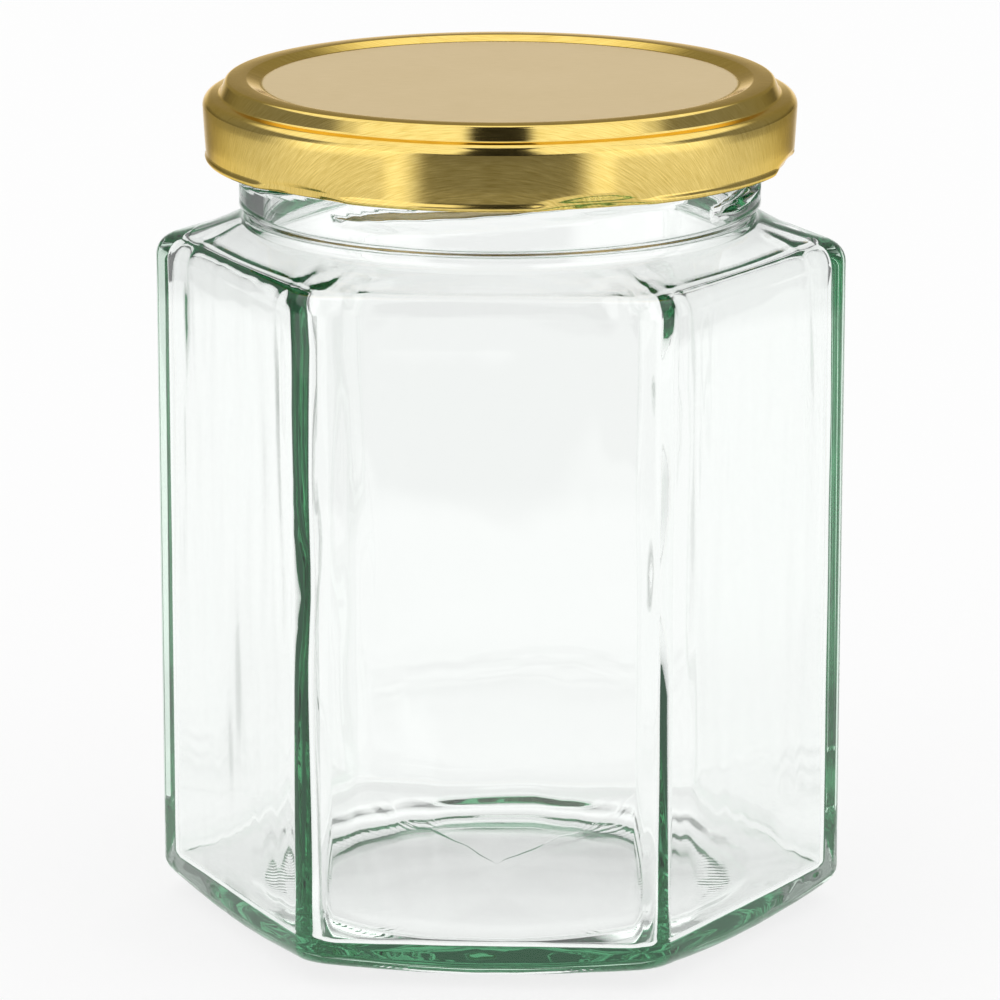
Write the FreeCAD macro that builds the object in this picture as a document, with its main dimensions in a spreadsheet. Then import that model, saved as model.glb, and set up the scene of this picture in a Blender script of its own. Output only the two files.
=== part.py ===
"""Hexagonal glass food jar with a gold twist-off lid.

The jar is one blown piece: a bearing ring, six flat panels between rounded corners, a shoulder
that turns the hexagon into a circle, and a round neck with a fire-polished rim.  Every section
of the body, outside and inside, is a rounded hexagon, and only its height, its apothem (half the
width across the flats) and its corner radius change from stage to stage.  The lid is one pressed
sheet with a raised ring, a rolled hem and six lugs, and a soft sealing ring lies in its channel.

Millimetres, +Z up, origin at the middle of the bearing ring, front panel facing -Y.
"""
import FreeCAD
import Part
import Sketcher

import math
import os

from FreeCAD import Vector

# ------------------------------------------------------------------ driving dimensions

# Stages of the rounded-hexagon sections: name, height, apothem, corner radius.
OUTER_STAGES = [
    ("wall_foot", 0.0, 33.9, 3.5),
    ("wall_top", 74.6, 33.9, 3.5),
    ("bevel", 77.0, 32.2, 5.0),
    ("neck_foot", 79.1, 29.3, 29.0),
]
INNER_STAGES = [
    ("floor", 4.1, 29.8, 1.4),
    ("cavity_foot", 5.1, 30.8, 2.4),
    ("cavity_top", 73.6, 30.8, 2.4),
    ("inner_bevel", 75.4, 29.4, 4.0),
    ("bore_foot", 77.8, 26.5, 26.2),
]
# Other sizes: name, value.
SIZES = [
    ("neck_root", 78.2),
    ("waist_radius", 28.55),
    ("waist_low", 79.35),
    ("cove_rounding", 0.9),
    ("bead_low", 80.4),
    ("bead_high", 81.1),
    ("bead_rounding", 0.5),
    ("neck_radius", 29.05),
    ("rim_height", 93.8),
    ("bore_radius", 26.4),
    ("rim_rounding", 1.0),
    ("bearing_height", 0.0),
    ("bearing_radius", 25.5),
    ("underside_reach", 42.0),
    ("underside_rise", 3.1),
    ("heel_rounding", 1.6),
    ("push_up_radius", 22.5),
    ("push_up_depth", 1.5),
    ("dish_radius", 29.4),
    ("dish_floor_radius", 25.0),
    ("dish_height", 2.3),
    ("dish_rounding", 6.0),
    ("island_radius", 20.5),
    ("island_height", 1.5),
    ("lid_top", 95.0),
    ("lid_bottom", 86.1),
    ("sheet", 0.25),
    ("panel_drop", 0.55),
    ("panel_radius", 26.6),
    ("land_inner", 28.1),
    ("land_outer", 30.4),
    ("step_radius", 31.1),
    ("step_drop", 1.6),
    ("shoulder_drop", 1.8),
    ("lid_radius", 33.0),
    ("skirt_foot_radius", 32.7),
    ("land_rounding", 0.5),
    ("step_rounding", 0.4),
    ("shoulder_rounding", 1.1),
    ("panel_rounding", 0.6),
    ("hem_radius", 0.45),
    ("lug_reach", 30.7),
    ("lug_angle", 15.0),
    ("lug_turn", 52.0),
    ("liner_inner", 26.9),
    ("liner_outer", 29.8),
]

SIDES = 6
LUGS = 6
ROUNDING_STEPS = 4          # sections from one end of a rounded stretch to the other
FIRST_TURN = math.radians(15)   # a heel leaves its flat foot at this slope

doc = FreeCAD.newDocument("HexagonalJar")
size = {}


def fill_sheet():
    """Write every driving dimension into the spreadsheet, one alias each."""
    sheet = doc.addObject("Spreadsheet::Sheet", "sizes")
    entries = list(SIZES)
    for stage, height, apothem, corner in OUTER_STAGES + INNER_STAGES:
        entries.append((stage + "_height", height))
        entries.append((stage + "_apothem", apothem))
        entries.append((stage + "_corner", corner))
    for row, (alias, value) in enumerate(entries, start=1):
        sheet.set(f"A{row}", alias.replace("_", " "))
        sheet.set(f"B{row}", str(value))
        sheet.setAlias(f"B{row}", alias)
        size[alias] = value
    doc.recompute()


# ------------------------------------------------------------------ sketch helpers

def new_body(label):
    body = doc.addObject("PartDesign::Body", label)
    body.Label = label
    return body


def origin_plane(body, role):
    return next(item for item in body.Origin.OriginFeatures if item.Role == role)


def new_sketch(body, name, role):
    """Empty sketch on one of the body's own origin planes."""
    sketch = body.newObject("Sketcher::SketchObject", name)
    sketch.AttachmentSupport = (origin_plane(body, role), [""])
    sketch.MapMode = "FlatFace"
    return sketch


def bind(sketch, constraint, name, formula):
    """Add a driving constraint and tie it to a formula on the spreadsheet."""
    index = sketch.addConstraint(constraint)
    sketch.renameConstraint(index, name)
    sketch.setExpression(f"Constraints.{name}", formula)


def blended(low, high, kind, share):
    """Size between two stages, as a number and as the formula that drives it."""
    start, end = size[f"{low}_{kind}"], size[f"{high}_{kind}"]
    formula = f"sizes.{low}_{kind} + (sizes.{high}_{kind} - sizes.{low}_{kind}) * {share:.5f}"
    return start + (end - start) * share, formula


def rounded_hexagon(body, name, low, high, rise, spread):
    """Rounded-hexagon section between two stages.

    rise is its share of the height between them, spread its share of the change of width.
    """
    sketch = new_sketch(body, name, "XY_Plane")
    height_formula = blended(low, high, "height", rise)[1]
    sketch.setExpression("AttachmentOffset.Base.z", height_formula)
    apothem, apothem_formula = blended(low, high, "apothem", spread)
    corner, corner_formula = blended(low, high, "corner", spread)
    half_flat = (apothem - corner) * math.tan(math.pi / SIDES)
    for side in range(SIDES):
        facing = math.radians(360.0 / SIDES * side - 90.0)
        outward = Vector(math.cos(facing), math.sin(facing), 0)
        along = Vector(-math.sin(facing), math.cos(facing), 0)
        flat_end = outward * apothem + along * half_flat
        sketch.addGeometry(Part.LineSegment(outward * apothem - along * half_flat, flat_end))
        circle = Part.Circle(flat_end - outward * corner, Vector(0, 0, 1), corner)
        sketch.addGeometry(Part.ArcOfCircle(circle, facing, facing + 2 * math.pi / SIDES))
    for side in range(SIDES):
        flat, arc = 2 * side, 2 * side + 1
        next_flat = (2 * side + 2) % (2 * SIDES)
        sketch.addConstraint(Sketcher.Constraint("Tangent", flat, 2, arc, 1))
        sketch.addConstraint(Sketcher.Constraint("Tangent", arc, 2, next_flat, 1))
        turned = math.radians(360.0 / SIDES * side)
        sketch.addConstraint(Sketcher.Constraint("Angle", flat, turned))
        bind(sketch, Sketcher.Constraint("Distance", -1, 1, flat, apothem),
             f"apothem{side}", apothem_formula)
        if side:
            sketch.addConstraint(Sketcher.Constraint("Equal", 1, arc))
        else:
            bind(sketch, Sketcher.Constraint("Radius", arc, corner), "corner", corner_formula)
    return sketch


def profile(body, name, corners):
    """Closed half-section on the XZ plane, from its sharp corners and their roundings.

    A corner is its radius, its height and, where it is rounded, its rounding.  Each of them is
    a number with the spreadsheet formula that drives it.
    """
    sketch = new_sketch(body, name, "XZ_Plane")
    places = [Vector(corner[0][0], corner[1][0], 0) for corner in corners]
    roundings = [corner[2][0] if len(corner) > 2 else 0.0 for corner in corners]
    count = len(corners)
    trims = []
    for index, (place, rounding) in enumerate(zip(places, roundings)):
        back = (places[index - 1] - place).normalize()
        ahead = (places[(index + 1) % count] - place).normalize()
        half_angle = back.getAngle(ahead) / 2
        trim = rounding / math.tan(half_angle)
        centre = place + (back + ahead).normalize() * (rounding / math.sin(half_angle))
        trims.append((place + back * trim, place + ahead * trim, centre))
    for index in range(count):
        sketch.addGeometry(Part.LineSegment(trims[index][1], trims[(index + 1) % count][0]))
    for index, corner in enumerate(corners):
        before = (index - 1) % count
        if roundings[index]:
            place_on(sketch, add_rounding(sketch, index, before, trims[index], places[index]),
                     1, corner, index)
            bind(sketch, Sketcher.Constraint("Radius", sketch.GeometryCount - 2,
                                             roundings[index]), f"round{index}", corner[2][1])
        else:
            sketch.addConstraint(Sketcher.Constraint("Coincident", before, 2, index, 1))
            place_on(sketch, index, 1, corner, index)
    return sketch


def add_rounding(sketch, line, before, trim, place):
    """Arc between two lines of a profile, and the point where they would have met."""
    start, end, centre = trim
    anticlockwise = (place - start).cross(end - place).z > 0
    first, second = (1, 2) if anticlockwise else (2, 1)
    low, high = (start, end) if anticlockwise else (end, start)
    low_angle = math.atan2(low.y - centre.y, low.x - centre.x)
    turned = (low - centre).getAngle(high - centre)
    circle = Part.Circle(centre, Vector(0, 0, 1), start.distanceToPoint(centre))
    sketch.addGeometry(Part.ArcOfCircle(circle, low_angle, low_angle + turned))
    arc = sketch.GeometryCount - 1
    sketch.addConstraint(Sketcher.Constraint("Tangent", before, 2, arc, first))
    sketch.addConstraint(Sketcher.Constraint("Tangent", arc, second, line, 1))
    sketch.addGeometry(Part.Point(place), True)
    corner = sketch.GeometryCount - 1
    sketch.addConstraint(Sketcher.Constraint("PointOnObject", corner, 1, before))
    sketch.addConstraint(Sketcher.Constraint("PointOnObject", corner, 1, line))
    return corner


def place_on(sketch, item, end, corner, index):
    """Hold a point of a profile at its radius and height."""
    (radius, radius_formula), (height, height_formula) = corner[:2]
    if radius == 0:
        sketch.addConstraint(Sketcher.Constraint("PointOnObject", item, end, -2))
    else:
        bind(sketch, Sketcher.Constraint("DistanceX", -1, 1, item, end, radius),
             f"radius{index}", radius_formula)
    bind(sketch, Sketcher.Constraint("DistanceY", -1, 1, item, end, height),
         f"height{index}", height_formula)


def cell(name, less="", factor=1.0):
    """A sheet value, less factor times another, as a number with its formula."""
    if not less:
        return size[name], f"sizes.{name}"
    return size[name] - factor * size[less], f"sizes.{name} - {factor} * sizes.{less}"


ON_AXIS = (0.0, "0")


def ring_edges(feature, radius, height):
    """Names of a feature's circular edges with this radius at this height."""
    names = []
    for index, edge in enumerate(feature.Shape.Edges, start=1):
        if edge.Degenerated or not isinstance(edge.Curve, Part.Circle):
            continue
        curve = edge.Curve
        if abs(curve.Radius - radius) < 0.02 and abs(curve.Center.z - height) < 0.02:
            names.append(f"Edge{index}")
    return names


def revolve(body, kind, name, sketch):
    feature = body.newObject(kind, name)
    feature.Profile = sketch
    feature.ReferenceAxis = (sketch, ["V_Axis"])
    feature.Angle = 360
    doc.recompute()
    return feature


def round_edge(body, feature, name, radius, height, rounding):
    """Fillet one circular edge; the rounding is bound to its sheet value."""
    fillet = body.newObject("PartDesign::Fillet", name)
    fillet.Base = (feature, ring_edges(feature, radius, height))
    fillet.setExpression("Radius", f"sizes.{rounding}")
    doc.recompute()
    return fillet


# ------------------------------------------------------------------ the glass jar

def rounded_stretch(body, kind, low, high, steps, rising):
    """Loft from one stage to the next along a quarter of an ellipse.

    rising is true where the surface leaves the lower stage upright and lies over at the upper
    one, as a bevel does, and false where it leaves flat and stands up, as a heel does.
    """
    sections = []
    for step in range(steps + 1):
        if rising:
            turn = math.pi / 2 * step / steps
            rise, spread = math.sin(turn), 1 - math.cos(turn)
        else:
            turn = FIRST_TURN + (math.pi / 2 - FIRST_TURN) * step / steps
            rise = 1 - math.cos(turn) / math.cos(FIRST_TURN)
            spread = (math.sin(turn) - math.sin(FIRST_TURN)) / (1 - math.sin(FIRST_TURN))
        sections.append(rounded_hexagon(body, f"{low}_section{step}", low, high, rise, spread))
    loft = body.newObject(kind, f"{low}_to_{high}")
    loft.Profile = sections[0]
    loft.Sections = sections[1:]
    loft.Ruled = steps == 1
    doc.recompute()
    return loft


def straight_stretch(body, kind, low, high):
    """Upright walls between two stages of the same outline."""
    sketch = rounded_hexagon(body, f"{low}_outline", low, high, 0.0, 0.0)
    feature = body.newObject(kind, f"{low}_to_{high}")
    feature.Profile = sketch
    feature.setExpression("Length", f"sizes.{high}_height - sizes.{low}_height")
    if kind == "PartDesign::Pocket":
        feature.Reversed = True          # cuts upwards from its sketch
    doc.recompute()
    return feature


def add_neck(body):
    """Round neck: a waist above the shoulder, a low bead, and a rim with a rounded lip."""
    corners = [
        (ON_AXIS, cell("neck_root")),
        (cell("neck_foot_apothem"), cell("neck_root")),
        (cell("neck_foot_apothem"), cell("neck_foot_height")),
        (cell("waist_radius"), cell("waist_low"), cell("cove_rounding")),
        (cell("waist_radius"), cell("bead_low"), cell("bead_rounding")),
        (cell("neck_radius"), cell("bead_high"), cell("bead_rounding")),
        (cell("neck_radius"), cell("rim_height")),
        (ON_AXIS, cell("rim_height")),
    ]
    return revolve(body, "PartDesign::Revolution", "neck", profile(body, "neck_profile", corners))


def cut_bore(body):
    """Round bore from the inner shoulder up through the rim."""
    corners = [
        (ON_AXIS, cell("bore_foot_height")),
        (cell("bore_radius"), cell("bore_foot_height")),
        (cell("bore_radius"), cell("rim_height")),
        (ON_AXIS, cell("rim_height")),
    ]
    return revolve(body, "PartDesign::Groove", "bore", profile(body, "bore_profile", corners))


def dished(body, kind, name, base, radius, depth):
    """Low spherical cap on the axis, standing on a level: raised or cut out."""
    sketch = new_sketch(body, name + "_profile", "XZ_Plane")
    low, foot, high = size[base], size[radius], size[base] + size[depth]
    ball = (foot ** 2 + size[depth] ** 2) / (2 * size[depth])
    centre = Vector(0, high - ball, 0)
    start = math.atan2(low - centre.y, foot)
    sketch.addGeometry(Part.LineSegment(Vector(0, low, 0), Vector(foot, low, 0)))
    arc = Part.ArcOfCircle(Part.Circle(centre, Vector(0, 0, 1), ball), start, math.pi / 2)
    sketch.addGeometry(arc)
    sketch.addGeometry(Part.LineSegment(Vector(0, high, 0), Vector(0, low, 0)))
    sketch.addConstraint(Sketcher.Constraint("Coincident", 0, 2, 1, 1))
    sketch.addConstraint(Sketcher.Constraint("Coincident", 1, 2, 2, 1))
    sketch.addConstraint(Sketcher.Constraint("Coincident", 2, 2, 0, 1))
    sketch.addConstraint(Sketcher.Constraint("Horizontal", 0))
    sketch.addConstraint(Sketcher.Constraint("PointOnObject", 0, 1, -2))
    sketch.addConstraint(Sketcher.Constraint("PointOnObject", 1, 3, -2))
    sketch.addConstraint(Sketcher.Constraint("PointOnObject", 1, 2, -2))
    bind(sketch, Sketcher.Constraint("DistanceX", 0, 1, 0, 2, foot), "foot", f"sizes.{radius}")
    bind(sketch, Sketcher.Constraint("DistanceY", 0, 1, 1, 2, size[depth]), "rise",
         f"sizes.{depth}")
    if low:
        bind(sketch, Sketcher.Constraint("DistanceY", -1, 1, 0, 1, low), "base",
             f"sizes.{base}")
    else:
        sketch.addConstraint(Sketcher.Constraint("PointOnObject", 0, 1, -1))
    return revolve(body, kind, name, sketch)


def round_underside(body):
    """Shallow cone from the bearing ring out to the walls, which rises towards the corners."""
    corners = [
        (cell("bearing_radius"), cell("bearing_height")),
        (cell("underside_reach"), cell("bearing_height")),
        (cell("underside_reach"), cell("underside_rise")),
    ]
    return revolve(body, "PartDesign::Groove", "underside",
                   profile(body, "underside_profile", corners))


def round_heel(body, underside):
    """Rounding where the cone of the underside meets the walls, all the way round."""
    solid = underside.Shape
    walls = [face for face in solid.Faces if not isinstance(face.Surface, Part.Cone)
             and face.BoundBox.ZLength > 1]
    names = []
    for index, edge in enumerate(solid.Edges, start=1):
        on_cone = any(edge.isSame(other) for face in solid.Faces
                      if isinstance(face.Surface, Part.Cone) for other in face.Edges)
        on_wall = any(edge.isSame(other) for face in walls for other in face.Edges)
        if on_cone and on_wall:
            names.append(f"Edge{index}")
    heel = body.newObject("PartDesign::Fillet", "heel")
    heel.Base = (underside, names)
    heel.setExpression("Radius", "sizes.heel_rounding")
    doc.recompute()
    return heel


def cut_dish(body):
    """Round dish in the floor, so that the glass is even over the bearing ring."""
    corners = [
        (ON_AXIS, cell("dish_height")),
        (cell("dish_floor_radius"), cell("dish_height"), cell("dish_rounding")),
        (cell("dish_radius"), cell("floor_height")),
        (ON_AXIS, cell("floor_height")),
    ]
    return revolve(body, "PartDesign::Groove", "dish", profile(body, "dish_profile", corners))


def make_glass_jar():
    body = new_body("glass_jar")
    additive, subtractive = "PartDesign::AdditiveLoft", "PartDesign::SubtractiveLoft"
    straight_stretch(body, "PartDesign::Pad", "wall_foot", "wall_top")
    round_heel(body, round_underside(body))
    rounded_stretch(body, additive, "wall_top", "bevel", ROUNDING_STEPS, rising=True)
    rounded_stretch(body, additive, "bevel", "neck_foot", 1, rising=True)
    solid = add_neck(body).Shape.Volume
    rounded_stretch(body, subtractive, "floor", "cavity_foot", ROUNDING_STEPS, rising=False)
    straight_stretch(body, "PartDesign::Pocket", "cavity_foot", "cavity_top")
    rounded_stretch(body, subtractive, "cavity_top", "inner_bevel", ROUNDING_STEPS, rising=True)
    rounded_stretch(body, subtractive, "inner_bevel", "bore_foot", 1, rising=True)
    cut_bore(body)
    hollow = cut_dish(body)
    dished(body, "PartDesign::Groove", "push_up", "bearing_height", "push_up_radius",
           "push_up_depth")
    last = dished(body, "PartDesign::Revolution", "floor_island", "dish_height",
                  "island_radius", "island_height")
    last = round_edge(body, last, "outer_lip", size["neck_radius"], size["rim_height"],
                      "rim_rounding")
    last = round_edge(body, last, "inner_lip", size["bore_radius"], size["rim_height"],
                      "rim_rounding")
    print("jar solid", round(solid), "hollow", round(hollow.Shape.Volume),
          "final", round(last.Shape.Volume))
    return body


# ------------------------------------------------------------------ the twist-off lid

def pressed_cap(body):
    """Solid outline of the cap: recessed panel, raised ring, step, shoulder and skirt."""
    top = cell("lid_top")
    corners = [
        (ON_AXIS, cell("lid_bottom", "hem_radius", -1.0)),
        (cell("skirt_foot_radius"), cell("lid_bottom", "hem_radius", -1.0)),
        (cell("lid_radius"), cell("lid_top", "shoulder_drop"), cell("shoulder_rounding")),
        (cell("step_radius"), cell("lid_top", "step_drop"), cell("step_rounding")),
        (cell("land_outer"), top, cell("land_rounding")),
        (cell("land_inner"), top, cell("panel_rounding")),
        (cell("panel_radius"), cell("lid_top", "panel_drop"), cell("panel_rounding")),
        (ON_AXIS, cell("lid_top", "panel_drop")),
    ]
    return revolve(body, "PartDesign::Revolution", "cap", profile(body, "cap_profile", corners))


def shell_cap(body, cap):
    """Hollow the cap to the thickness of the sheet, open underneath."""
    lowest = min(range(len(cap.Shape.Faces)), key=lambda i: cap.Shape.Faces[i].CenterOfMass.z)
    shell = body.newObject("PartDesign::Thickness", "sheet_metal")
    shell.Base = (cap, [f"Face{lowest + 1}"])
    shell.setExpression("Value", "sizes.sheet")
    shell.Reversed = True
    shell.Mode = 0
    shell.Join = 0
    doc.recompute()
    return shell


def add_hem(body):
    """Rolled hem: a full round bead under the skirt, flush with its outside."""
    sketch = new_sketch(body, "hem_profile", "XZ_Plane")
    roll = size["hem_radius"]
    centre = Vector(size["skirt_foot_radius"] - roll, size["lid_bottom"] + roll, 0)
    sketch.addGeometry(Part.Circle(centre, Vector(0, 0, 1), roll))
    bind(sketch, Sketcher.Constraint("Radius", 0, roll), "roll", "sizes.hem_radius")
    bind(sketch, Sketcher.Constraint("DistanceX", -1, 1, 0, 3, centre.x), "out",
         "sizes.skirt_foot_radius - sizes.hem_radius")
    bind(sketch, Sketcher.Constraint("DistanceY", -1, 1, 0, 3, centre.y), "up",
         "sizes.lid_bottom + sizes.hem_radius")
    return revolve(body, "PartDesign::Revolution", "hem", sketch)


def add_lugs(body):
    """Six lugs: short stretches of the hem pressed inwards to catch the neck's threads."""
    sketch = new_sketch(body, "lug_profile", "XZ_Plane")
    roll = size["hem_radius"]
    middle = size["lid_bottom"] + roll
    inner, outer = size["lug_reach"] + roll, size["skirt_foot_radius"] - roll
    turned_in = Part.Circle(Vector(inner, middle, 0), Vector(0, 0, 1), roll)
    turned_out = Part.Circle(Vector(outer, middle, 0), Vector(0, 0, 1), roll)
    sketch.addGeometry(Part.ArcOfCircle(turned_in, math.pi / 2, 3 * math.pi / 2))
    sketch.addGeometry(Part.LineSegment(Vector(inner, middle - roll, 0),
                                        Vector(outer, middle - roll, 0)))
    sketch.addGeometry(Part.ArcOfCircle(turned_out, -math.pi / 2, math.pi / 2))
    sketch.addGeometry(Part.LineSegment(Vector(outer, middle + roll, 0),
                                        Vector(inner, middle + roll, 0)))
    for first, second in ((0, 1), (1, 2), (2, 3), (3, 0)):
        sketch.addConstraint(Sketcher.Constraint("Tangent", first, 2, second, 1))
    sketch.addConstraint(Sketcher.Constraint("Horizontal", 1))
    bind(sketch, Sketcher.Constraint("Radius", 0, roll), "roll", "sizes.hem_radius")
    bind(sketch, Sketcher.Constraint("DistanceX", -1, 1, 0, 3, inner), "inner",
         "sizes.lug_reach + sizes.hem_radius")
    bind(sketch, Sketcher.Constraint("DistanceX", -1, 1, 2, 3, outer), "outer",
         "sizes.skirt_foot_radius - sizes.hem_radius")
    bind(sketch, Sketcher.Constraint("DistanceY", -1, 1, 0, 3, middle), "middle",
         "sizes.lid_bottom + sizes.hem_radius")
    lug = body.newObject("PartDesign::Revolution", "lug")
    lug.Profile = sketch
    lug.ReferenceAxis = (sketch, ["V_Axis"])
    lug.Midplane = True
    lug.setExpression("Angle", "sizes.lug_angle")
    doc.recompute()
    pattern = body.newObject("PartDesign::PolarPattern", "lugs")
    pattern.Originals = [lug]
    pattern.Axis = (sketch, ["V_Axis"])
    pattern.Angle = 360
    pattern.Occurrences = LUGS
    body.Tip = pattern
    doc.recompute()
    return pattern


def make_lid():
    body = new_body("lid")
    cap = pressed_cap(body)
    shell = shell_cap(body, cap)
    add_hem(body)
    last = add_lugs(body)
    body.setExpression("Placement.Rotation.Angle", "sizes.lug_turn")
    print("cap solid", round(cap.Shape.Volume), "shell", round(shell.Shape.Volume),
          "final", round(last.Shape.Volume))
    return body


def make_liner():
    """Sealing compound: a flat soft ring cast into the channel under the lid's raised land."""
    body = new_body("lid_liner")
    under_land = cell("lid_top", "sheet")
    corners = [
        (cell("liner_inner"), cell("rim_height")),
        (cell("liner_outer"), cell("rim_height")),
        (cell("liner_outer"), under_land),
        (cell("land_inner"), under_land),
        (cell("liner_inner"), cell("lid_top", "panel_drop", 1.6)),
    ]
    revolve(body, "PartDesign::Revolution", "liner", profile(body, "liner_profile", corners))
    return body


# ------------------------------------------------------------------ build, check and write

def check():
    """Stop if any object failed or any sub-part's shape is missing or invalid."""
    for item in doc.Objects:
        if "Invalid" in item.State or "Error" in item.State:
            raise RuntimeError(f"{item.Name} failed: {item.State}")
    for body in bodies:
        if body.Shape.isNull() or not body.Shape.isValid():
            raise RuntimeError(f"{body.Label} has no valid shape")
        if len(body.Shape.Solids) != 1:
            raise RuntimeError(f"{body.Label} is {len(body.Shape.Solids)} solids")


fill_sheet()
bodies = [make_glass_jar(), make_lid(), make_liner()]
doc.recompute()
check()
os.makedirs("parts", exist_ok=True)
for part in bodies:
    part.Shape.exportStep(f"parts/{part.Label}.step")
    print(part.Label, "volume", round(part.Shape.Volume), "box", part.Shape.BoundBox)
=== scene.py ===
import math

import bpy
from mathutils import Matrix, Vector


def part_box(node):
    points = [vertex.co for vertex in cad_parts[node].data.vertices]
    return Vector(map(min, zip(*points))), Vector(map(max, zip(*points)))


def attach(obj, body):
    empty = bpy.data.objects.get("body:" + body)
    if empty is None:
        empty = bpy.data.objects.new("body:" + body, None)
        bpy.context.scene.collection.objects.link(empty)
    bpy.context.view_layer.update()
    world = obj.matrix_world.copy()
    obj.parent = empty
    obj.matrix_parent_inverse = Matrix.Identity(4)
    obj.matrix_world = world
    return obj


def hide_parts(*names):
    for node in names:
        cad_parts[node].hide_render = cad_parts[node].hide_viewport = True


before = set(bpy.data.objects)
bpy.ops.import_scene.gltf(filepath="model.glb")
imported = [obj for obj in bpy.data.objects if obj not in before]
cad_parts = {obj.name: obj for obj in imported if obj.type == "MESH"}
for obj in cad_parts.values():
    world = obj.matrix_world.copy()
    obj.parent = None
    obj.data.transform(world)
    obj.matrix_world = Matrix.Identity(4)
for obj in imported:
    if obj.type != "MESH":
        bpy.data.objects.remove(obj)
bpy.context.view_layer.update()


# ---------------------------------------------------------------------------------------
# Glass jar. One blown piece of soda-lime glass: six panels, a shoulder that turns the
# hexagon into a circle, and a neck with thread starts. The moulded outside and the wavier
# blown inside are two skins, each drawn up ring by ring, and bridged over the rim.
MM = 0.001
jar_low, jar_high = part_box("glass_jar")
HALF_FLATS = (jar_high.y - jar_low.y) / 2
HALF_CORNERS = (jar_high.x - jar_low.x) / 2
RIM_HEIGHT = jar_high.z
SIXTH = math.pi / 3
CORNER_ROUND = (HALF_FLATS / math.cos(SIXTH / 2) - HALF_CORNERS) / (1 / math.cos(SIXTH / 2) - 1)

WALL = 3.1 * MM
INNER_HALF_FLATS = HALF_FLATS - WALL
INNER_CORNER_ROUND = 2.4 * MM
BORE = 26.4 * MM
NECK = 29.05 * MM
LIP_ROUND = 1.0 * MM
FLAT_CUTS = 48
CORNER_STEPS = 45
SAME_HEIGHT = 0.004 * MM


def deselect():
    """Leave edit mode with nothing selected."""
    if bpy.context.object and bpy.context.object.mode == "EDIT":
        bpy.ops.object.mode_set(mode="OBJECT")
    bpy.ops.object.select_all(action="DESELECT")


def pick(obj, wanted):
    """Select the vertices that wanted accepts, and leave the object in edit mode."""
    bpy.ops.object.mode_set(mode="EDIT")
    bpy.ops.mesh.select_mode(type="VERT")
    bpy.ops.mesh.select_all(action="DESELECT")
    bpy.ops.object.mode_set(mode="OBJECT")
    for vertex in obj.data.vertices:
        vertex.select = wanted(vertex.co)
    bpy.ops.object.mode_set(mode="EDIT")


def hexagon_ring(name, height, half_flats, corner_round):
    """Rounded hexagon with corners on +X and -X, left in edit mode with the ring selected."""
    deselect()
    bpy.ops.mesh.primitive_circle_add(vertices=6, radius=half_flats / math.cos(SIXTH / 2),
                                      location=(0, 0, height), rotation=(0, 0, SIXTH / 2))
    ring = bpy.context.object
    ring.name = name
    bpy.ops.object.transform_apply(location=True, rotation=True, scale=True)
    bpy.ops.object.mode_set(mode="EDIT")
    bpy.ops.mesh.select_all(action="SELECT")
    bpy.ops.mesh.bevel(offset=corner_round * math.tan(SIXTH / 2), segments=CORNER_STEPS,
                       affect="VERTICES", profile=0.5)
    bpy.ops.object.mode_set(mode="OBJECT")
    flat_length = 2 * (half_flats - corner_round) * math.tan(SIXTH / 2)
    for edge in ring.data.edges:
        first, second = (ring.data.vertices[i].co for i in edge.vertices)
        edge.select = (first - second).length > 0.9 * flat_length
    for vertex in ring.data.vertices:
        vertex.select = False
    bpy.ops.object.mode_set(mode="EDIT")
    bpy.ops.mesh.select_mode(type="EDGE")
    bpy.ops.mesh.subdivide(number_cuts=FLAT_CUTS)
    bpy.ops.mesh.select_all(action="SELECT")
    return ring


def draw_out(start, stations, mean=1.0, least=1.0):
    """Extrude the selected ring through stations of (height, half flats, roundness).

    mean and least are the first ring's distances from the axis.  Roundness grows from 0, the
    first ring's own outline, to 1, a circle.
    """
    height, half, rounded = start
    for next_height, next_half, next_rounded in stations:
        bpy.ops.mesh.extrude_edges_move(
            TRANSFORM_OT_translate={"value": (0, 0, next_height - height)})
        share = 0.0
        if next_rounded > rounded:
            share = 1 - (1 - next_rounded) / (1 - rounded)
        spread = next_half / half
        spread *= ((1 - rounded) * least / mean + rounded)
        spread /= ((1 - next_rounded) * least / mean + next_rounded)
        bpy.ops.transform.resize(value=(spread, spread, 1), center_override=(0, 0, next_height))
        if share:
            bpy.ops.transform.tosphere(value=share)
        height, half, rounded = next_height, next_half, next_rounded


def curve(start, end, steps, first, last):
    """Stations on an ellipse's arc between two of its angles, 0 upright and 90 level."""
    stations = []
    first, last = math.radians(first), math.radians(last)
    for step in range(1, steps + 1):
        turn = first + (last - first) * step / steps
        run = (math.cos(first) - math.cos(turn)) / (math.cos(first) - math.cos(last))
        rise = (math.sin(turn) - math.sin(first)) / (math.sin(last) - math.sin(first))
        stations.append(tuple(a + (b - a) * share
                              for a, b, share in zip(start, end, (rise, run, run))))
    return stations


def straight(start, end, steps):
    """Stations along a straight line, without the first."""
    return [tuple(a + (b - a) * step / steps for a, b in zip(start, end))
            for step in range(1, steps + 1)]


def station(height, half, rounded=1.0):
    return height * MM, half * MM, rounded


def blown_skin(name, foot, upwards, downwards, corner_round):
    """Skin drawn up and down from the ring at the foot of the walls, closed at the bottom."""
    ring = hexagon_ring(name, foot[0], foot[1], corner_round)
    bpy.ops.object.mode_set(mode="OBJECT")
    reach = [math.hypot(vertex.co.x, vertex.co.y) for vertex in ring.data.vertices]
    for stations in (upwards, downwards):
        pick(ring, lambda place: abs(place.z - foot[0]) < SAME_HEIGHT)
        draw_out(foot, stations, sum(reach) / len(reach), min(reach))
    bpy.ops.mesh.merge(type="CENTER")
    bpy.ops.object.mode_set(mode="OBJECT")
    return ring


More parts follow.
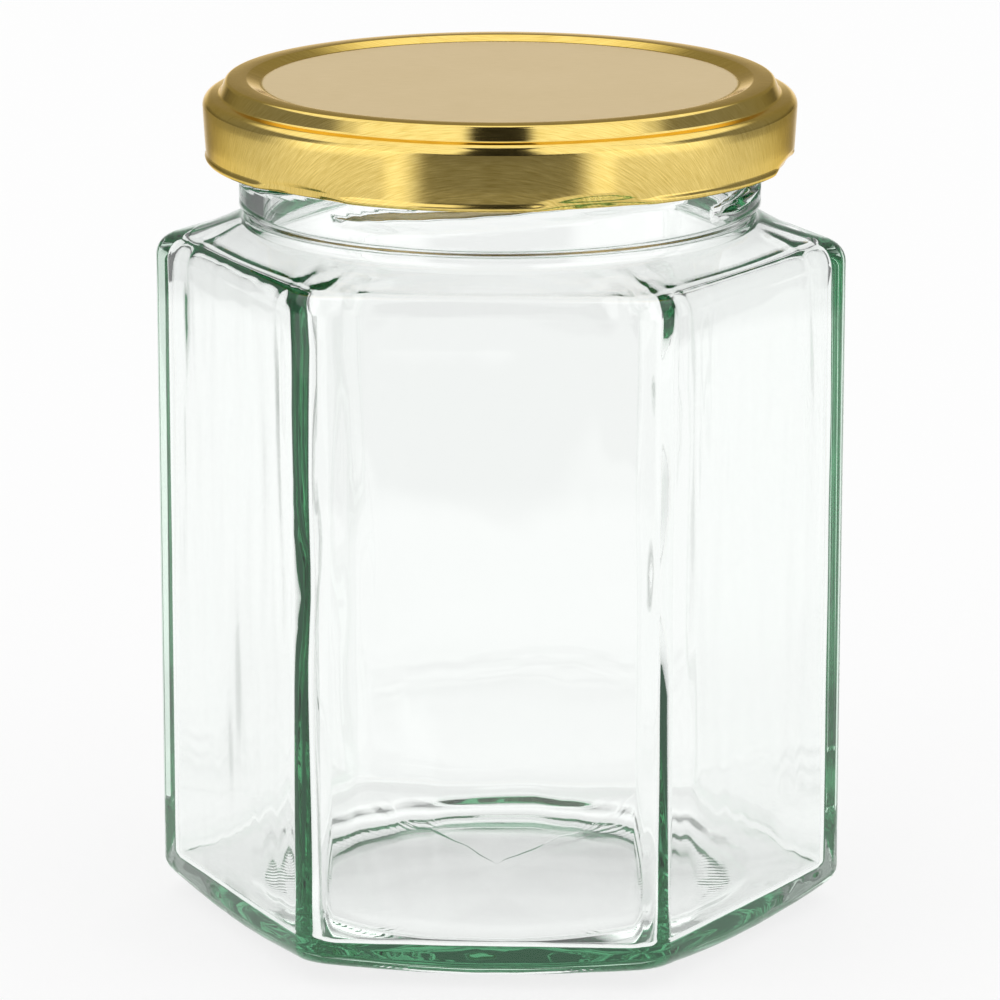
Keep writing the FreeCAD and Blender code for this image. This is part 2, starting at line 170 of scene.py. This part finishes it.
# Outside: heel, walls, bevel of the shoulder, slope, cove, neck bead and neck.
OUTER, INNER = HALF_FLATS / MM, INNER_HALF_FLATS / MM
BEARING_OUT, BEARING_IN = 25.5, 22.5
HEEL_ROUND = 1.7
wall_foot = station(6.0, OUTER, 0.0)
heel_top = station(HEEL_ROUND, OUTER, 0.0)
wall_top = station(74.6, OUTER, 0.0)
bevel_top = station(77.0, 32.2, 0.10)
slope_top = station(79.1, 29.3)
waist_low = station(79.7, 28.55)
waist_high = station(80.4, 28.55)
bead = station(81.1, NECK / MM)
neck_top = (RIM_HEIGHT - LIP_ROUND, NECK, 1.0)
lip_outer = (RIM_HEIGHT, NECK - LIP_ROUND, 1.0)
outside_up = (straight(wall_foot, wall_top, 6) + curve(wall_top, bevel_top, 7, 0, 90)
              + straight(bevel_top, slope_top, 7) + curve(slope_top, waist_low, 3, -90, 0)
              + straight(waist_low, waist_high, 1) + straight(waist_high, bead, 2)
              + straight(bead, neck_top, 28) + curve(neck_top, lip_outer, 4, 0, 90))
heel = station(0.0, OUTER - HEEL_ROUND, 0.03)
bearing_out = station(0.0, BEARING_OUT)
bearing_in = station(0.0, BEARING_IN)
push_up = station(1.5, 0.6)
outside_down = (straight(wall_foot, heel_top, 3) + curve(heel_top, heel, 6, 0, 90)
                + straight(heel, bearing_out, 6) + straight(bearing_out, bearing_in, 4)
                + curve(bearing_in, push_up, 10, 48, 90))

# Inside: floor, walls, bevel, slope and bore.
cavity_foot = station(5.1, INNER, 0.0)
cavity_top = station(74.2, INNER, 0.0)
inner_bevel = station(75.6, 29.7, 0.05)
bore_foot = station(78.0, BORE / MM)
bore_top = (RIM_HEIGHT - LIP_ROUND, BORE, 1.0)
lip_inner = (RIM_HEIGHT, BORE + LIP_ROUND, 1.0)
inside_up = (straight(cavity_foot, cavity_top, 20) + curve(cavity_top, inner_bevel, 6, 0, 90)
             + straight(inner_bevel, bore_foot, 7) + straight(bore_foot, bore_top, 8)
             + curve(bore_top, lip_inner, 4, 0, 90)[:-1])
floor_edge = station(4.1, INNER - 1.0, 0.05)
dish_edge = station(3.9, 28.9, 0.8)
dish_side = station(3.2, 26.2)
dish_floor = station(2.6, 22.8)
island_foot = station(2.6, 20.5)
island = station(3.8, 0.6)
inside_down = (curve(cavity_foot, floor_edge, 5, 0, 90) + straight(floor_edge, dish_edge, 3)
               + curve(dish_edge, dish_side, 4, 90, 50) + curve(dish_side, dish_floor, 4, 50, 90)
               + straight(dish_floor, island_foot, 2) + curve(island_foot, island, 10, 66, 90))

jar = blown_skin("jar_glass_wall", wall_foot, outside_up, outside_down, CORNER_ROUND)
inside = blown_skin("jar_inside", cavity_foot, inside_up, inside_down, INNER_CORNER_ROUND)


def weigh(obj, name, weight):
    """Vertex group with a weight from each vertex's place."""
    group = obj.vertex_groups.new(name=name)
    for vertex in obj.data.vertices:
        share = weight(vertex.co)
        if share > 0:
            group.add([vertex.index], min(share, 1.0), "REPLACE")
    return group


def smooth_step(low, high, value):
    share = min(max((value - low) / (high - low), 0.0), 1.0)
    return share * share * (3 - 2 * share)


def apply_all(obj):
    deselect()
    obj.select_set(True)
    bpy.context.view_layer.objects.active = obj
    for modifier in list(obj.modifiers):
        bpy.ops.object.modifier_apply(modifier=modifier.name)


def ripple(obj, name, grain, stretch, depth, weight):
    """Uneven surface of blown glass: cloudy displacement, drawn out along Z by stretch."""
    weigh(obj, name, weight)
    clouds = bpy.data.textures.new(name, "CLOUDS")
    clouds.noise_scale = 1.0
    clouds.noise_depth = 1
    guide = bpy.data.objects.new(name + "_guide", None)
    bpy.context.scene.collection.objects.link(guide)
    guide.scale = (grain, grain, grain * stretch)
    bpy.context.view_layer.update()
    waves = obj.modifiers.new(name, "DISPLACE")
    waves.texture = clouds
    waves.texture_coords = "OBJECT"
    waves.texture_coords_object = guide
    waves.vertex_group = name
    waves.mid_level = 0.5
    waves.strength = depth
    apply_all(obj)
    bpy.data.objects.remove(guide)


# The blown inside is wavy all over, streaked up the walls and wilder in the corners, and the
# glass is a little thicker in places. Outside, only the heel is uneven.
ripple(inside, "wall_waves", 9 * MM, 5.0, 0.20 * MM,
       lambda place: smooth_step(4 * MM, 12 * MM, place.z) * smooth_step(77 * MM, 71 * MM, place.z))
ripple(inside, "floor_waves", 9 * MM, 1.0, 0.15 * MM,
       lambda place: smooth_step(12 * MM, 6 * MM, place.z))
ripple(inside, "streaks", 2.6 * MM, 7.0, 0.07 * MM,
       lambda place: smooth_step(5 * MM, 9 * MM, place.z) * smooth_step(77 * MM, 73 * MM, place.z))


def from_corner(place):
    """How far round the body a place is from the nearest vertical edge."""
    turned = math.atan2(place.y, place.x) % SIXTH
    return min(turned, SIXTH - turned) * math.hypot(place.x, place.y)


ripple(inside, "corner_streaks", 2.8 * MM, 8.0, 0.60 * MM,
       lambda place: smooth_step(6.2 * MM, 3.6 * MM, from_corner(place))
       * smooth_step(34 * MM, 44 * MM, place.z) * smooth_step(74 * MM, 71 * MM, place.z))
ripple(inside, "shoulder_swirls", 2.4 * MM, 1.0, 0.55 * MM,
       lambda place: smooth_step(6.5 * MM, 3.5 * MM, from_corner(place))
       * smooth_step(69 * MM, 73 * MM, place.z) * smooth_step(78 * MM, 76 * MM, place.z))
ripple(jar, "heel_waves", 5 * MM, 0.4, 0.12 * MM,
       lambda place: smooth_step(27 * MM, 30 * MM, math.hypot(place.x, place.y))
       * smooth_step(5 * MM, 3 * MM, place.z))
ripple(inside, "thickness", 24 * MM, 1.6, 0.55 * MM,
       lambda place: smooth_step(6 * MM, 20 * MM, place.z) * smooth_step(76 * MM, 68 * MM, place.z))

# Underside: a shallow cone, so that the jar stands on its ring and the corners are lifted.
CONE_RISE, CONE_REACH = 3.1, 42.0
UNDERSIDE_SLOPE = CONE_RISE / (CONE_REACH - BEARING_OUT)
CORNER_LIFT = UNDERSIDE_SLOPE * (HALF_CORNERS - BEARING_OUT * MM)


def lift_weight(place):
    """Share of the corner's lift, growing outwards from the bearing ring."""
    past = max(math.hypot(place.x, place.y) - BEARING_OUT * MM, 0.0)
    return UNDERSIDE_SLOPE * past / CORNER_LIFT * smooth_step(5.5 * MM, 1.0 * MM, place.z)


# Knurls: short radial ridges all round the inner edge of the bearing ring.
KNURLS = 140
KNURL_MIDDLE, KNURL_HALF = 23.6, 0.9
KNURL_STAND = 0.22 * MM
pick(jar, lambda place: place.z < 1 * MM
     and abs(math.hypot(place.x, place.y) / MM - KNURL_MIDDLE) < KNURL_HALF + 0.3)
bpy.ops.mesh.subdivide(number_cuts=1)
bpy.ops.object.mode_set(mode="OBJECT")


def knurl_weight(place):
    """A row of rounded ridges, full on the middle line of the ring."""
    off = abs(math.hypot(place.x, place.y) / MM - KNURL_MIDDLE) / KNURL_HALF
    if place.z > 1 * MM or off > 1:
        return 0.0
    return (1 - off * off) * (0.5 + 0.5 * math.cos(KNURLS * math.atan2(place.y, place.x)))


for name, weight, stand in (("underside", lift_weight, CORNER_LIFT),
                            ("knurls", knurl_weight, KNURL_STAND)):
    weigh(jar, name, weight)
    lift = jar.modifiers.new(name, "DISPLACE")
    lift.vertex_group = name
    lift.direction = "Z"
    lift.mid_level = 0.0
    lift.strength = stand
    apply_all(jar)

# Thread starts: low ridges round the neck that climb to the right and catch the lid's lugs.
THREADS = 4
THREAD_FIRST = math.radians(-123.2)
THREAD_SPAN = math.radians(86)
THREAD_LOW, THREAD_RISE = 83.1 * MM, 3.6 * MM
THREAD_HALF_WIDTH = 1.15 * MM
THREAD_STAND = 1.35 * MM


def thread_weight(place):
    """Full on a start's crest, falling to nothing at its sides and tapered at its ends."""
    reach = math.hypot(place.x, place.y)
    if reach < NECK - 0.2 * MM or place.z < bead[0]:
        return 0.0
    spacing = 2 * math.pi / THREADS
    turned = (math.atan2(place.y, place.x) - THREAD_FIRST) % spacing
    best = 0.0
    for along in (turned, turned - spacing, turned + spacing):
        share = along / THREAD_SPAN
        past = max(-share, share - 1, 0.0) * THREAD_SPAN * NECK
        off = place.z - (THREAD_LOW + THREAD_RISE * min(max(share, 0.0), 1.0))
        thin = 0.35 + 0.65 * smooth_step(0.0, 0.14, share) * smooth_step(1.0, 0.86, share)
        away = math.hypot(past, off) / (THREAD_HALF_WIDTH * thin)
        best = max(best, 1 - smooth_step(0.25, 1.0, away))
    return best


weigh(jar, "threads", thread_weight)
raised = jar.modifiers.new("threads", "DISPLACE")
raised.vertex_group = "threads"
raised.mid_level = 0.0
raised.strength = THREAD_STAND
apply_all(jar)

deselect()
inside.select_set(True)
jar.select_set(True)
bpy.context.view_layer.objects.active = jar
bpy.ops.object.join()
bpy.ops.object.mode_set(mode="EDIT")
bpy.ops.mesh.select_mode(type="EDGE")
bpy.ops.mesh.select_all(action="DESELECT")
bpy.ops.mesh.select_non_manifold()
bpy.ops.mesh.bridge_edge_loops()
bpy.ops.mesh.select_all(action="SELECT")
bpy.ops.mesh.remove_doubles(threshold=0.0005 * MM)
bpy.ops.mesh.normals_make_consistent(inside=False)
bpy.ops.mesh.faces_shade_smooth()
bpy.ops.object.mode_set(mode="OBJECT")
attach(jar, "root")
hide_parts("glass_jar")


class Link:
    """A node socket that Python expressions can be written with."""

    def __init__(self, tree, socket):
        self.tree = tree
        self.socket = socket

    def joined(self, operation, first, second):
        return self.tree.make("ShaderNodeMath", {"operation": operation}, {0: first, 1: second})

    def __add__(self, other):
        return self.joined("ADD", self, other)

    def __radd__(self, other):
        return self.joined("ADD", other, self)

    def __sub__(self, other):
        return self.joined("SUBTRACT", self, other)

    def __rsub__(self, other):
        return self.joined("SUBTRACT", other, self)

    def __mul__(self, other):
        return self.joined("MULTIPLY", self, other)

    def __rmul__(self, other):
        return self.joined("MULTIPLY", other, self)

    def __truediv__(self, other):
        return self.joined("DIVIDE", self, other)

    def __lt__(self, other):
        return self.joined("LESS_THAN", self, other)

    def __gt__(self, other):
        return self.joined("GREATER_THAN", self, other)


class Tree:
    """Node tree of a material or of the world, with one method that makes any node."""

    def __init__(self, owner):
        owner.use_nodes = True
        self.nodes = owner.node_tree.nodes
        self.links = owner.node_tree.links
        self.nodes.clear()

    def make(self, kind, settings, sockets, output=0):
        node = self.nodes.new(kind)
        for name, value in settings.items():
            if name == "stops":
                while len(node.color_ramp.elements) < len(value):
                    node.color_ramp.elements.new(0.5)
                for element, (place, colour) in zip(node.color_ramp.elements, value):
                    element.position = place
                    element.color = colour
            else:
                setattr(node, name, value)
        for name, value in sockets.items():
            if isinstance(value, Link):
                self.links.new(value.socket, node.inputs[name])
            else:
                node.inputs[name].default_value = value
        if node.outputs:
            return Link(self, node.outputs[output])


def new_material(name, obj):
    material = bpy.data.materials.new(name)
    obj.data.materials.clear()
    obj.data.materials.append(material)
    return Tree(material)


glass = new_material("green_tinted_glass", jar)
clear = glass.make("ShaderNodeBsdfPrincipled", {}, {
    "Base Color": (1, 1, 1, 1), "Roughness": 0.0, "IOR": 1.52, "Transmission Weight": 1.0})
tint = glass.make("ShaderNodeVolumeAbsorption", {}, {
    "Color": (0.25, 0.72, 0.42, 1), "Density": 8.5})
glass.make("ShaderNodeOutputMaterial", {}, {"Surface": clear, "Volume": tint})


# ---------------------------------------------------------------------------------------
# Lid. A lug cap of tinplate, brushed and lacquered gold in the flat, then pressed: recessed
# panel, raised ring, step, shoulder and skirt. The rolled hem is pressed in at six lugs,
# which catch the neck's thread starts.
lid_low, lid_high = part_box("lid")
LID_TOP, LID_BOTTOM = lid_high.z, lid_low.z
SHEET = 0.25 * MM
HEM_ROLL = 0.45 * MM
HEM_MIDDLE = 32.33 * MM
LID_SEGMENTS = 240
LUGS = 6
LUG_FIRST = math.radians(52)
LUG_HALF_TURN = math.radians(12)
LUG_SIZE, LUG_DEPTH = 30.0 * MM, 0.32


def below(drop, reach):
    return LID_TOP - drop * MM, reach * MM, 1.0


def roll(centre_height, centre_reach, size, first, last, steps):
    """Stations round a roll; angles in degrees, 0 outwards and 90 up."""
    stations = []
    for step in range(steps + 1):
        turn = math.radians(first + (last - first) * step / steps)
        stations.append((centre_height + size * math.sin(turn),
                         centre_reach + size * math.cos(turn), 1.0))
    return stations


panel_middle = below(0.55, 1.0)
panel_edge = below(0.55, 26.1)
skirt_top = (LID_TOP - 3.0 * MM, 32.97 * MM, 1.0)
skirt_low = (LID_BOTTOM + 2.2 * MM, 32.76 * MM, 1.0)
skirt_foot = (LID_BOTTOM + 0.8 * MM, 32.66 * MM, 1.0)
lid_stations = (
    straight(panel_middle, panel_edge, 12)
    + roll(LID_TOP + 0.05 * MM, 26.5 * MM, 0.6 * MM, 272, 290, 2)
    + roll(LID_TOP - 0.6 * MM, 28.2 * MM, 0.6 * MM, 110, 90, 3)
    + roll(LID_TOP - 0.5 * MM, 30.07 * MM, 0.5 * MM, 88, 24, 5)
    + roll(LID_TOP - 1.23 * MM, 31.37 * MM, 0.4 * MM, 204, 264, 5)
    + roll(LID_TOP - 2.8 * MM, 31.87 * MM, 1.1 * MM, 84, -2, 8)
    + straight(skirt_top, skirt_low, 6) + straight(skirt_low, skirt_foot, 7)
    + roll(LID_BOTTOM + HEM_ROLL, HEM_MIDDLE, HEM_ROLL, 36, -250, 14))

deselect()
bpy.ops.mesh.primitive_circle_add(vertices=LID_SEGMENTS, radius=panel_middle[1],
                                  fill_type="TRIFAN", location=(0, 0, panel_middle[0]))
lid = bpy.context.object
lid.name = "gold_lid"
bpy.ops.object.transform_apply(location=True, rotation=True, scale=True)
pick(lid, lambda place: math.hypot(place.x, place.y) > 0.5 * panel_middle[1])
draw_out(panel_middle, lid_stations)
bpy.ops.mesh.select_all(action="SELECT")
bpy.ops.mesh.normals_make_consistent(inside=False)
bpy.ops.mesh.faces_shade_smooth()
bpy.ops.object.mode_set(mode="OBJECT")
sheet = lid.modifiers.new("sheet", "SOLIDIFY")
sheet.thickness = SHEET
sheet.offset = -1.0
apply_all(lid)


def lug_weight(place):
    """Where the hem is pressed in: a shallow arch over each lug, deepest at the lower edge."""
    if place.z > LID_BOTTOM + 2.5 * MM:
        return 0.0
    spacing = 2 * math.pi / LUGS
    turned = (math.atan2(place.y, place.x) - LUG_FIRST) % spacing
    off = min(turned, spacing - turned) / LUG_HALF_TURN
    if off >= 1:
        return 0.0
    arch = LID_BOTTOM + (0.7 + 0.9 * (1 - off * off)) * MM
    return (1 - off ** 4) * min(max((arch - place.z) / (1.2 * MM), 0.0), 1.0)


weigh(lid, "lugs", lug_weight)
pressed = lid.modifiers.new("lugs", "CAST")
pressed.cast_type = "CYLINDER"
pressed.vertex_group = "lugs"
pressed.use_radius_as_size = False
pressed.size = LUG_SIZE
pressed.factor = LUG_DEPTH
apply_all(lid)
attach(lid, "root")
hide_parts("lid")

gold = new_material("gold_lacquered_tinplate", lid)
spot = gold.make("ShaderNodeTexCoord", {}, {}, output=3)
across = gold.make("ShaderNodeSeparateXYZ", {}, {0: spot})
side, depth, height = (Link(gold, across.socket.node.outputs[axis]) for axis in "XYZ")
reach = gold.make("ShaderNodeMath", {"operation": "SQRT"}, {0: side * side + depth * depth}) + 1e-5
# The sheet was brushed flat, along X, before it was drawn: unrolled is where it lay then.
unrolled = (reach + (LID_TOP - height)) / reach
ALONG_HAIR, ACROSS_HAIR = 420, 6500
brushing = gold.make("ShaderNodeCombineXYZ", {}, {
    0: side * unrolled * ALONG_HAIR, 1: depth * unrolled * ACROSS_HAIR})
hairs = gold.make("ShaderNodeTexNoise", {}, {"Vector": brushing, "Scale": 1.0, "Detail": 2.0})
cloud = gold.make("ShaderNodeTexNoise", {}, {"Vector": spot, "Scale": 90.0, "Detail": 3.0})
on_panel = gold.make("ShaderNodeMapRange", {"interpolation_type": "SMOOTHSTEP"}, {
    "Value": reach, "From Min": 26.6 * MM, "From Max": 26.2 * MM})
on_skirt = gold.make("ShaderNodeMapRange", {"interpolation_type": "SMOOTHSTEP"}, {
    "Value": height, "From Min": LID_TOP - 2.0 * MM, "From Max": LID_TOP - 3.2 * MM})
grain = hairs * 0.75 + cloud * 0.25
bright_gold = gold.make("ShaderNodeValToRGB", {"stops": (
    (0.30, (0.60, 0.43, 0.10, 1)), (0.70, (0.86, 0.66, 0.22, 1)))}, {0: grain})
# The panel's paler, whiter gold is partly painted sheen: it stands in for the whitish reflection of the
# lacquer at a grazing view. Its satin finish is real and comes from the higher roughness below.
matt_gold_painted_sheen = gold.make("ShaderNodeValToRGB", {"stops": (
    (0.25, (0.78, 0.65, 0.42, 1)), (0.75, (0.86, 0.73, 0.51, 1)))}, {0: grain})
lacquer_and_painted_sheen = gold.make("ShaderNodeMix", {"data_type": "RGBA"}, {
    0: on_panel, 6: bright_gold, 7: matt_gold_painted_sheen}, output=2)
gloss = 0.10 + 0.44 * on_panel + 0.06 * on_skirt + 0.08 * (hairs - 0.5)
brushed = gold.make("ShaderNodeBump", {}, {"Strength": 0.16, "Distance": 0.015 * MM, "Height": hairs})
metal = gold.make("ShaderNodeBsdfPrincipled", {}, {
    "Base Color": lacquer_and_painted_sheen, "Metallic": 1.0, "Roughness": gloss, "Normal": brushed,
    "Specular Tint": (1.0, 0.78, 0.36, 1), "Coat Weight": 0.2, "Coat Roughness": 0.12})
gold.make("ShaderNodeOutputMaterial", {}, {"Surface": metal})


# ---------------------------------------------------------------------------------------
# Sealing ring. A pale soft compound that is run into the channel under the lid's raised
# ring and cured there, so that the rim of the glass beds into it.
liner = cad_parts["lid_liner"]
compound = new_material("sealing_compound", liner)
spot = compound.make("ShaderNodeTexCoord", {}, {}, output=3)
flow = compound.make("ShaderNodeTexNoise", {}, {"Vector": spot, "Scale": 260.0, "Detail": 4.0})
cream = compound.make("ShaderNodeValToRGB", {"stops": (
    (0.3, (0.70, 0.68, 0.61, 1)), (0.7, (0.80, 0.78, 0.72, 1)))}, {0: flow})
skin = compound.make("ShaderNodeBump", {}, {"Strength": 0.3, "Distance": 0.05 * MM, "Height": flow})
soft = compound.make("ShaderNodeBsdfPrincipled", {}, {
    "Base Color": cream, "Roughness": 0.5 + 0.2 * flow, "Normal": skin})
compound.make("ShaderNodeOutputMaterial", {}, {"Surface": soft})


# ---------------------------------------------------------------------------------------
# Studio. A plain pale floor in soft light, and a long lens a little above the lid. The gold
# and the edges of the glass mirror a room of pale walls with darker gaps between them, which
# the floor and the world both show to mirrored rays.
CAMERA_AZIMUTH = math.radians(3.34)
DARK, DIM_LOW, DIM_HIGH, OVERHEAD = 0.02, 0.15, 0.25, 1.35
WHITE = (1, 1, 1, 1)


def grey(level):
    return level, level, level, 1


def room(tree, east, north, rise, away=1.0):
    """What is mirrored from a direction, by its turn from the lens and its rise.

    away is how far off it is met: the table close to the jar is pale all round. After three
    mirrorings inside the glass everything is painted dimmer and greener, which is the studio's
    doing and not the material's: the glass alone has a weaker tint, and its dark green edges are
    painted shade.
    """
    front = math.sin(CAMERA_AZIMUTH), -math.cos(CAMERA_AZIMUTH)
    turn = tree.make("ShaderNodeMath", {"operation": "ARCTAN2"}, {
        0: east * -front[1] + north * front[0], 1: east * front[0] + north * front[1]})
    turn = tree.make("ShaderNodeMath", {"operation": "ABSOLUTE"}, {0: turn}) / math.pi
    level = tree.make("ShaderNodeValToRGB", {"stops": (
        (0.0, grey(DARK)), (0.155, grey(DARK)), (0.20, grey(1.7)), (0.44, grey(1.7)),
        (0.56, grey(DIM_HIGH)), (0.86, grey(DIM_LOW)), (0.94, WHITE))}, {0: turn})
    upper = tree.make("ShaderNodeValToRGB", {"stops": (
        (0.0, grey(DARK)), (0.07, grey(DARK)), (0.10, grey(1.4)), (0.36, grey(1.4)),
        (0.44, grey(DIM_HIGH)), (1.0, grey(0.3)))}, {0: turn})
    lifted = tree.make("ShaderNodeMapRange", {"interpolation_type": "SMOOTHSTEP"}, {
        "Value": rise, "From Min": 0.02, "From Max": 0.2})
    walls = tree.make("ShaderNodeMix", {"data_type": "RGBA"}, {0: lifted, 6: level, 7: upper}, output=2)
    overhead = tree.make("ShaderNodeMapRange", {"interpolation_type": "SMOOTHSTEP"}, {
        "Value": rise + (turn < 0.4) * -0.35, "From Min": 0.5, "From Max": 0.66})
    walls = tree.make("ShaderNodeMix", {"data_type": "RGBA"}, {
        0: overhead, 6: walls, 7: grey(OVERHEAD)}, output=2)
    abreast = tree.make("ShaderNodeMath", {"operation": "ABSOLUTE"}, {0: east + 0.058 * north})
    gap = (abreast < 0.14) * (rise > 0.5) * (turn < 0.5)
    walls = tree.make("ShaderNodeMix", {"data_type": "RGBA"}, {
        0: gap, 6: walls, 7: grey(0.03)}, output=2)
    near = tree.make("ShaderNodeMapRange", {"interpolation_type": "SMOOTHSTEP"}, {
        "Value": (turn < 0.24) * away * 0.6 + away, "From Min": 0.42, "From Max": 0.38})
    rays = tree.make("ShaderNodeLightPath", {}, {})
    mirrorings = Link(tree, rays.socket.node.outputs["Glossy Depth"])
    once = mirrorings < 1.5
    low = tree.make("ShaderNodeMapRange", {"interpolation_type": "SMOOTHSTEP"}, {
        "Value": rise, "From Min": 0.40, "From Max": 0.22})
    straight_on = (mirrorings < 0.5) * low
    seen = Link(tree, rays.socket.node.outputs["Is Camera Ray"])
    plain = tree.make("ShaderNodeMath", {"operation": "MAXIMUM"}, {0: seen, 1: straight_on})
    walls = tree.make("ShaderNodeMix", {"data_type": "RGBA"}, {
        0: near * once, 6: walls, 7: WHITE}, output=2)
    # Painted shade: paths mirrored three times or more inside the glass are darkened and tinted green
    # here, which paints a dark green shade on the glass edges.
    painted_green_shade = tree.make("ShaderNodeMix", {"data_type": "RGBA"}, {
        0: mirrorings < 2.5, 6: (0.11, 0.33, 0.19, 1), 7: WHITE}, output=2)
    walls = tree.make("ShaderNodeMix", {"data_type": "RGBA", "blend_type": "MULTIPLY"}, {
        0: 1.0, 6: walls, 7: painted_green_shade}, output=2)
    return tree.make("ShaderNodeMix", {"data_type": "RGBA"}, {
        0: plain, 6: walls, 7: WHITE}, output=2)


bpy.ops.mesh.primitive_circle_add(vertices=96, radius=3.0, fill_type="NGON", location=(0, 0, 0))
ground = bpy.context.object
ground.name = "floor"
paper = new_material("white_paper", ground)
rays = paper.make("ShaderNodeLightPath", {}, {})
seen = Link(paper, rays.socket.node.outputs["Is Camera Ray"])
mirrored = Link(paper, rays.socket.node.outputs["Is Glossy Ray"])
passed = Link(paper, rays.socket.node.outputs["Is Transmission Ray"])
matt = paper.make("ShaderNodeBsdfDiffuse", {}, {"Color": (0.9, 0.9, 0.9, 1)})
where = paper.make("ShaderNodeSeparateXYZ", {}, {
    0: paper.make("ShaderNodeTexCoord", {}, {}, output=3)})
east, north, rise = (Link(paper, where.socket.node.outputs[axis]) for axis in "XYZ")
away = paper.make("ShaderNodeMath", {"operation": "SQRT"}, {0: east * east + north * north})
shade = room(paper, east, north, rise, away)
bright = paper.make("ShaderNodeEmission", {}, {"Color": shade, "Strength": 1.0})
# The rest of the matt shader keeps the jar's shadow.
EVEN_SHARE = 0.78
mixed = paper.make("ShaderNodeMixShader", {}, {
    0: (seen + mirrored + passed) * EVEN_SHARE, 1: matt, 2: bright})
paper.make("ShaderNodeOutputMaterial", {}, {"Surface": mixed})

world = bpy.data.worlds.new("studio")
bpy.context.scene.world = world
sky = Tree(world)
where = sky.make("ShaderNodeSeparateXYZ", {}, {
    0: sky.make("ShaderNodeTexCoord", {}, {}, output=0)})
shade = room(sky, *(Link(sky, where.socket.node.outputs[axis]) for axis in "XYZ"))
even = sky.make("ShaderNodeBackground", {}, {"Color": shade, "Strength": 1.0})
sky.make("ShaderNodeOutputWorld", {}, {"Surface": even})

CAMERA_DISTANCE = 0.6247
CAMERA_HEIGHT = 0.2043
AIM_HEIGHT = 0.0466
lens_camera = bpy.data.cameras.new("camera")
camera = bpy.data.objects.new("camera", lens_camera)
bpy.context.scene.collection.objects.link(camera)
camera.location = (CAMERA_DISTANCE * math.sin(CAMERA_AZIMUTH),
                   -CAMERA_DISTANCE * math.cos(CAMERA_AZIMUTH), CAMERA_HEIGHT)
aim = Vector((0, 0, AIM_HEIGHT)) - camera.location
camera.rotation_euler = aim.to_track_quat("-Z", "Y").to_euler()
lens_camera.sensor_width = 36
lens_camera.lens = 205.5
lens_camera.clip_start = 0.01
bpy.context.scene.camera = camera
bpy.context.scene.view_settings.view_transform = "Standard"
# Light is mirrored many times inside the glass, and each time counts as a glossy bounce.
bpy.context.scene.cycles.max_bounces = 32
bpy.context.scene.cycles.transmission_bounces = 32
bpy.context.scene.cycles.glossy_bounces = 32
